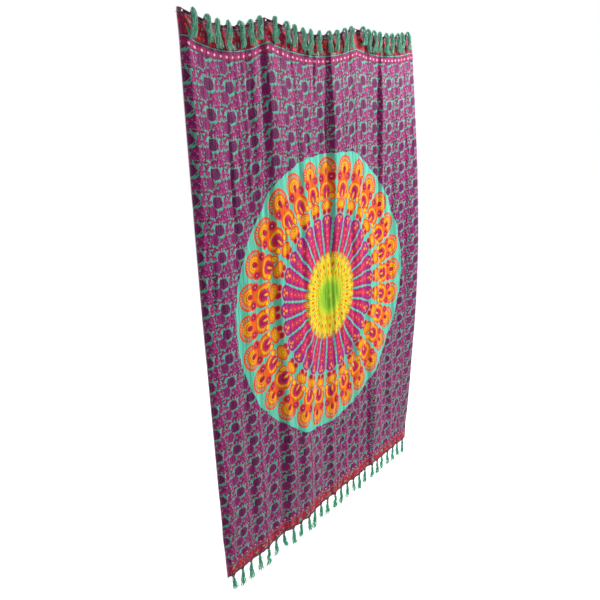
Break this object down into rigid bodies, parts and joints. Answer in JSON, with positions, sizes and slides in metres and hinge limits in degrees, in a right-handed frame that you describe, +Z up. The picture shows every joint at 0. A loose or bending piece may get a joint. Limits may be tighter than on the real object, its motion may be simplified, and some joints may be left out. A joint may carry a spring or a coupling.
{
  "type": "tapestry wall hanging",
  "caption": "Printed cotton wall hanging with a round flower mandala on a floral ground, hung in soft folds from wall nails, with knotted tassels along its top and bottom edges.",
  "frame": {"origin": "midway between the two corner nails, on the level nail line, in the cloth's mid-plane at the nails", "axes": "+Z up; the printed face looks along -Y, the wall lies towards +Y; +X is to the viewer's right"},
  "size_m": [1.4, 0.0595, 2.1563],
  "materials": {
    "printed_cotton": "matte",
    "sewing_thread": "matte",
    "tassel_yarn": "matte",
    "nail_steel": "satin"
  },
  "bodies": {
    "nails": {"wall_nails": "nail_steel"},
    "cloth": {"cloth_panel": "printed_cotton", "side_hem_left": "printed_cotton", "side_hem_right": "printed_cotton", "hem_thread_left": "sewing_thread", "hem_thread_right": "sewing_thread"},
    "bottom_tassel_01": {"tassel_bottom_01": "tassel_yarn"},
    "bottom_tassel_02": {"tassel_bottom_02": "tassel_yarn"},
    "bottom_tassel_03": {"tassel_bottom_03": "tassel_yarn"},
    "bottom_tassel_04": {"tassel_bottom_04": "tassel_yarn"},
    "bottom_tassel_05": {"tassel_bottom_05": "tassel_yarn"},
    "bottom_tassel_06": {"tassel_bottom_06": "tassel_yarn"},
    "bottom_tassel_07": {"tassel_bottom_07": "tassel_yarn"},
    "bottom_tassel_08": {"tassel_bottom_08": "tassel_yarn"},
    "bottom_tassel_09": {"tassel_bottom_09": "tassel_yarn"},
    "bottom_tassel_10": {"tassel_bottom_10": "tassel_yarn"},
    "bottom_tassel_11": {"tassel_bottom_11": "tassel_yarn"},
    "bottom_tassel_12": {"tassel_bottom_12": "tassel_yarn"},
    "bottom_tassel_13": {"tassel_bottom_13": "tassel_yarn"},
    "bottom_tassel_14": {"tassel_bottom_14": "tassel_yarn"},
    "bottom_tassel_15": {"tassel_bottom_15": "tassel_yarn"},
    "bottom_tassel_16": {"tassel_bottom_16": "tassel_yarn"},
    "bottom_tassel_17": {"tassel_bottom_17": "tassel_yarn"},
    "bottom_tassel_18": {"tassel_bottom_18": "tassel_yarn"},
    "bottom_tassel_19": {"tassel_bottom_19": "tassel_yarn"},
    "bottom_tassel_20": {"tassel_bottom_20": "tassel_yarn"},
    "bottom_tassel_21": {"tassel_bottom_21": "tassel_yarn"},
    "bottom_tassel_22": {"tassel_bottom_22": "tassel_yarn"},
    "bottom_tassel_23": {"tassel_bottom_23": "tassel_yarn"},
    "bottom_tassel_24": {"tassel_bottom_24": "tassel_yarn"},
    "bottom_tassel_25": {"tassel_bottom_25": "tassel_yarn"},
    "bottom_tassel_26": {"tassel_bottom_26": "tassel_yarn"},
    "top_tassel_01": {"tassel_top_01": "tassel_yarn"},
    "top_tassel_02": {"tassel_top_02": "tassel_yarn"},
    "top_tassel_03": {"tassel_top_03": "tassel_yarn"},
    "top_tassel_04": {"tassel_top_04": "tassel_yarn"},
    "top_tassel_05": {"tassel_top_05": "tassel_yarn"},
    "top_tassel_06": {"tassel_top_06": "tassel_yarn"},
    "top_tassel_07": {"tassel_top_07": "tassel_yarn"},
    "top_tassel_08": {"tassel_top_08": "tassel_yarn"},
    "top_tassel_09": {"tassel_top_09": "tassel_yarn"},
    "top_tassel_10": {"tassel_top_10": "tassel_yarn"},
    "top_tassel_11": {"tassel_top_11": "tassel_yarn"},
    "top_tassel_12": {"tassel_top_12": "tassel_yarn"},
    "top_tassel_13": {"tassel_top_13": "tassel_yarn"},
    "top_tassel_14": {"tassel_top_14": "tassel_yarn"},
    "top_tassel_15": {"tassel_top_15": "tassel_yarn"},
    "top_tassel_16": {"tassel_top_16": "tassel_yarn"},
    "top_tassel_17": {"tassel_top_17": "tassel_yarn"},
    "top_tassel_18": {"tassel_top_18": "tassel_yarn"},
    "top_tassel_19": {"tassel_top_19": "tassel_yarn"},
    "top_tassel_20": {"tassel_top_20": "tassel_yarn"},
    "top_tassel_21": {"tassel_top_21": "tassel_yarn"},
    "top_tassel_22": {"tassel_top_22": "tassel_yarn"},
    "top_tassel_23": {"tassel_top_23": "tassel_yarn"},
    "top_tassel_24": {"tassel_top_24": "tassel_yarn"},
    "top_tassel_25": {"tassel_top_25": "tassel_yarn"},
    "top_tassel_26": {"tassel_top_26": "tassel_yarn"}
  },
  "joints": [
    {"name": "cloth_swing", "type": "hinge", "parent": "nails", "child": "cloth", "pos_m": [0, 0, 0], "axis": [-1, 0, 0], "range_deg": [0, 45]},
    {"name": "tassel_bottom_01_swing", "type": "hinge", "parent": "cloth", "child": "bottom_tassel_01", "pos_m": [-0.64904, -0.00092, -2.0644], "axis": [-1, 0, 0], "range_deg": [-8, 110]},
    {"name": "tassel_bottom_02_swing", "type": "hinge", "parent": "cloth", "child": "bottom_tassel_02", "pos_m": [-0.59711, -0.01398, -2.0644], "axis": [-1, 0, 0], "range_deg": [-8, 110]},
    {"name": "tassel_bottom_03_swing", "type": "hinge", "parent": "cloth", "child": "bottom_tassel_03", "pos_m": [-0.54519, -0.00044, -2.0644], "axis": [-1, 0, 0], "range_deg": [-8, 110]},
    {"name": "tassel_bottom_04_swing", "type": "hinge", "parent": "cloth", "child": "bottom_tassel_04", "pos_m": [-0.49327, -0.0119, -2.0644], "axis": [-1, 0, 0], "range_deg": [-8, 110]},
    {"name": "tassel_bottom_05_swing", "type": "hinge", "parent": "cloth", "child": "bottom_tassel_05", "pos_m": [-0.44135, -0.00468, -2.0644], "axis": [-1, 0, 0], "range_deg": [-8, 110]},
    {"name": "tassel_bottom_06_swing", "type": "hinge", "parent": "cloth", "child": "bottom_tassel_06", "pos_m": [-0.38942, -0.0063, -2.0644], "axis": [-1, 0, 0], "range_deg": [-8, 110]},
    {"name": "tassel_bottom_07_swing", "type": "hinge", "parent": "cloth", "child": "bottom_tassel_07", "pos_m": [-0.3375, -0.01059, -2.0644], "axis": [-1, 0, 0], "range_deg": [-8, 110]},
    {"name": "tassel_bottom_08_swing", "type": "hinge", "parent": "cloth", "child": "bottom_tassel_08", "pos_m": [-0.28558, -0.00101, -2.0644], "axis": [-1, 0, 0], "range_deg": [-8, 110]},
    {"name": "tassel_bottom_09_swing", "type": "hinge", "parent": "cloth", "child": "bottom_tassel_09", "pos_m": [-0.23365, -0.01395, -2.0644], "axis": [-1, 0, 0], "range_deg": [-8, 110]},
    {"name": "tassel_bottom_10_swing", "type": "hinge", "parent": "cloth", "child": "bottom_tassel_10", "pos_m": [-0.18173, -0.00205, -2.0644], "axis": [-1, 0, 0], "range_deg": [-8, 110]},
    {"name": "tassel_bottom_11_swing", "type": "hinge", "parent": "cloth", "child": "bottom_tassel_11", "pos_m": [-0.12981, -0.00783, -2.0644], "axis": [-1, 0, 0], "range_deg": [-8, 110]},
    {"name": "tassel_bottom_12_swing", "type": "hinge", "parent": "cloth", "child": "bottom_tassel_12", "pos_m": [-0.07788, -0.01063, -2.0644], "axis": [-1, 0, 0], "range_deg": [-8, 110]},
    {"name": "tassel_bottom_13_swing", "type": "hinge", "parent": "cloth", "child": "bottom_tassel_13", "pos_m": [-0.02596, -0.00045, -2.0644], "axis": [-1, 0, 0], "range_deg": [-8, 110]},
    {"name": "tassel_bottom_14_swing", "type": "hinge", "parent": "cloth", "child": "bottom_tassel_14", "pos_m": [0.02596, -0.01367, -2.0644], "axis": [-1, 0, 0], "range_deg": [-8, 110]},
    {"name": "tassel_bottom_15_swing", "type": "hinge", "parent": "cloth", "child": "bottom_tassel_15", "pos_m": [0.07788, -0.00305, -2.0644], "axis": [-1, 0, 0], "range_deg": [-8, 110]},
    {"name": "tassel_bottom_16_swing", "type": "hinge", "parent": "cloth", "child": "bottom_tassel_16", "pos_m": [0.12981, -0.00654, -2.0644], "axis": [-1, 0, 0], "range_deg": [-8, 110]},
    {"name": "tassel_bottom_17_swing", "type": "hinge", "parent": "cloth", "child": "bottom_tassel_17", "pos_m": [0.18173, -0.01167, -2.0644], "axis": [-1, 0, 0], "range_deg": [-8, 110]},
    {"name": "tassel_bottom_18_swing", "type": "hinge", "parent": "cloth", "child": "bottom_tassel_18", "pos_m": [0.23365, -0.00009, -2.0644], "axis": [-1, 0, 0], "range_deg": [-8, 110]},
    {"name": "tassel_bottom_19_swing", "type": "hinge", "parent": "cloth", "child": "bottom_tassel_19", "pos_m": [0.28558, -0.01236, -2.0644], "axis": [-1, 0, 0], "range_deg": [-8, 110]},
    {"name": "tassel_bottom_20_swing", "type": "hinge", "parent": "cloth", "child": "bottom_tassel_20", "pos_m": [0.3375, -0.00692, -2.0644], "axis": [-1, 0, 0], "range_deg": [-8, 110]},
    {"name": "tassel_bottom_21_swing", "type": "hinge", "parent": "cloth", "child": "bottom_tassel_21", "pos_m": [0.38942, -0.00175, -2.0644], "axis": [-1, 0, 0], "range_deg": [-8, 110]},
    {"name": "tassel_bottom_22_swing", "type": "hinge", "parent": "cloth", "child": "bottom_tassel_22", "pos_m": [0.44135, -0.01393, -2.0644], "axis": [-1, 0, 0], "range_deg": [-8, 110]},
    {"name": "tassel_bottom_23_swing", "type": "hinge", "parent": "cloth", "child": "bottom_tassel_23", "pos_m": [0.49327, -0.00321, -2.0644], "axis": [-1, 0, 0], "range_deg": [-8, 110]},
    {"name": "tassel_bottom_24_swing", "type": "hinge", "parent": "cloth", "child": "bottom_tassel_24", "pos_m": [0.54519, -0.00501, -2.0644], "axis": [-1, 0, 0], "range_deg": [-8, 110]},
    {"name": "tassel_bottom_25_swing", "type": "hinge", "parent": "cloth", "child": "bottom_tassel_25", "pos_m": [0.59711, -0.01338, -2.0644], "axis": [-1, 0, 0], "range_deg": [-8, 110]},
    {"name": "tassel_bottom_26_swing", "type": "hinge", "parent": "cloth", "child": "bottom_tassel_26", "pos_m": [0.64904, -0.00066, -2.0644], "axis": [-1, 0, 0], "range_deg": [-8, 110]},
    {"name": "tassel_top_01_swing", "type": "hinge", "parent": "cloth", "child": "top_tassel_01", "pos_m": [-0.621, -0.00978, -0.00037], "axis": [-1, 0, 0], "range_deg": [0, 100]},
    {"name": "tassel_top_02_swing", "type": "hinge", "parent": "cloth", "child": "top_tassel_02", "pos_m": [-0.57333, -0.00874, -0.01439], "axis": [-1, 0, 0], "range_deg": [0, 100]},
    {"name": "tassel_top_03_swing", "type": "hinge", "parent": "cloth", "child": "top_tassel_03", "pos_m": [-0.52567, -0.00147, -0.0228], "axis": [-1, 0, 0], "range_deg": [0, 100]},
    {"name": "tassel_top_04_swing", "type": "hinge", "parent": "cloth", "child": "top_tassel_04", "pos_m": [-0.478, -0.014, -0.0256], "axis": [-1, 0, 0], "range_deg": [0, 100]},
    {"name": "tassel_top_05_swing", "type": "hinge", "parent": "cloth", "child": "top_tassel_05", "pos_m": [-0.43033, -0.00147, -0.0228], "axis": [-1, 0, 0], "range_deg": [0, 100]},
    {"name": "tassel_top_06_swing", "type": "hinge", "parent": "cloth", "child": "top_tassel_06", "pos_m": [-0.38267, -0.00874, -0.01439], "axis": [-1, 0, 0], "range_deg": [0, 100]},
    {"name": "tassel_top_07_swing", "type": "hinge", "parent": "cloth", "child": "top_tassel_07", "pos_m": [-0.335, -0.00978, -0.00037], "axis": [-1, 0, 0], "range_deg": [0, 100]},
    {"name": "tassel_top_08_swing", "type": "hinge", "parent": "cloth", "child": "top_tassel_08", "pos_m": [-0.259, -0.00867, 0.00384], "axis": [-1, 0, 0], "range_deg": [0, 100]},
    {"name": "tassel_top_09_swing", "type": "hinge", "parent": "cloth", "child": "top_tassel_09", "pos_m": [-0.20889, -0.01042, -0.00779], "axis": [-1, 0, 0], "range_deg": [0, 100]},
    {"name": "tassel_top_10_swing", "type": "hinge", "parent": "cloth", "child": "top_tassel_10", "pos_m": [-0.15878, -0.00033, -0.01651], "axis": [-1, 0, 0], "range_deg": [0, 100]},
    {"name": "tassel_top_11_swing", "type": "hinge", "parent": "cloth", "child": "top_tassel_11", "pos_m": [-0.10867, -0.01332, -0.02233], "axis": [-1, 0, 0], "range_deg": [0, 100]},
    {"name": "tassel_top_12_swing", "type": "hinge", "parent": "cloth", "child": "top_tassel_12", "pos_m": [-0.05856, -0.00443, -0.02524], "axis": [-1, 0, 0], "range_deg": [0, 100]},
    {"name": "tassel_top_13_swing", "type": "hinge", "parent": "cloth", "child": "top_tassel_13", "pos_m": [-0.00844, -0.00443, -0.02524], "axis": [-1, 0, 0], "range_deg": [0, 100]},
    {"name": "tassel_top_14_swing", "type": "hinge", "parent": "cloth", "child": "top_tassel_14", "pos_m": [0.04167, -0.01332, -0.02233], "axis": [-1, 0, 0], "range_deg": [0, 100]},
    {"name": "tassel_top_15_swing", "type": "hinge", "parent": "cloth", "child": "top_tassel_15", "pos_m": [0.09178, -0.00033, -0.01651], "axis": [-1, 0, 0], "range_deg": [0, 100]},
    {"name": "tassel_top_16_swing", "type": "hinge", "parent": "cloth", "child": "top_tassel_16", "pos_m": [0.14189, -0.01042, -0.00779], "axis": [-1, 0, 0], "range_deg": [0, 100]},
    {"name": "tassel_top_17_swing", "type": "hinge", "parent": "cloth", "child": "top_tassel_17", "pos_m": [0.192, -0.00867, 0.00384], "axis": [-1, 0, 0], "range_deg": [0, 100]},
    {"name": "tassel_top_18_swing", "type": "hinge", "parent": "cloth", "child": "top_tassel_18", "pos_m": [0.268, -0.00769, 0.00736], "axis": [-1, 0, 0], "range_deg": [0, 100]},
    {"name": "tassel_top_19_swing", "type": "hinge", "parent": "cloth", "child": "top_tassel_19", "pos_m": [0.31212, -0.01325, 0.00081], "axis": [-1, 0, 0], "range_deg": [0, 100]},
    {"name": "tassel_top_20_swing", "type": "hinge", "parent": "cloth", "child": "top_tassel_20", "pos_m": [0.35625, -0.00181, -0.00386], "axis": [-1, 0, 0], "range_deg": [0, 100]},
    {"name": "tassel_top_21_swing", "type": "hinge", "parent": "cloth", "child": "top_tassel_21", "pos_m": [0.40037, -0.00448, -0.00666], "axis": [-1, 0, 0], "range_deg": [0, 100]},
    {"name": "tassel_top_22_swing", "type": "hinge", "parent": "cloth", "child": "top_tassel_22", "pos_m": [0.4445, -0.014, -0.0076], "axis": [-1, 0, 0], "range_deg": [0, 100]},
    {"name": "tassel_top_23_swing", "type": "hinge", "parent": "cloth", "child": "top_tassel_23", "pos_m": [0.48862, -0.00448, -0.00666], "axis": [-1, 0, 0], "range_deg": [0, 100]},
    {"name": "tassel_top_24_swing", "type": "hinge", "parent": "cloth", "child": "top_tassel_24", "pos_m": [0.53275, -0.00181, -0.00386], "axis": [-1, 0, 0], "range_deg": [0, 100]},
    {"name": "tassel_top_25_swing", "type": "hinge", "parent": "cloth", "child": "top_tassel_25", "pos_m": [0.57688, -0.01325, 0.00081], "axis": [-1, 0, 0], "range_deg": [0, 100]},
    {"name": "tassel_top_26_swing", "type": "hinge", "parent": "cloth", "child": "top_tassel_26", "pos_m": [0.621, -0.00769, 0.00736], "axis": [-1, 0, 0], "range_deg": [0, 100]}
  ]
}
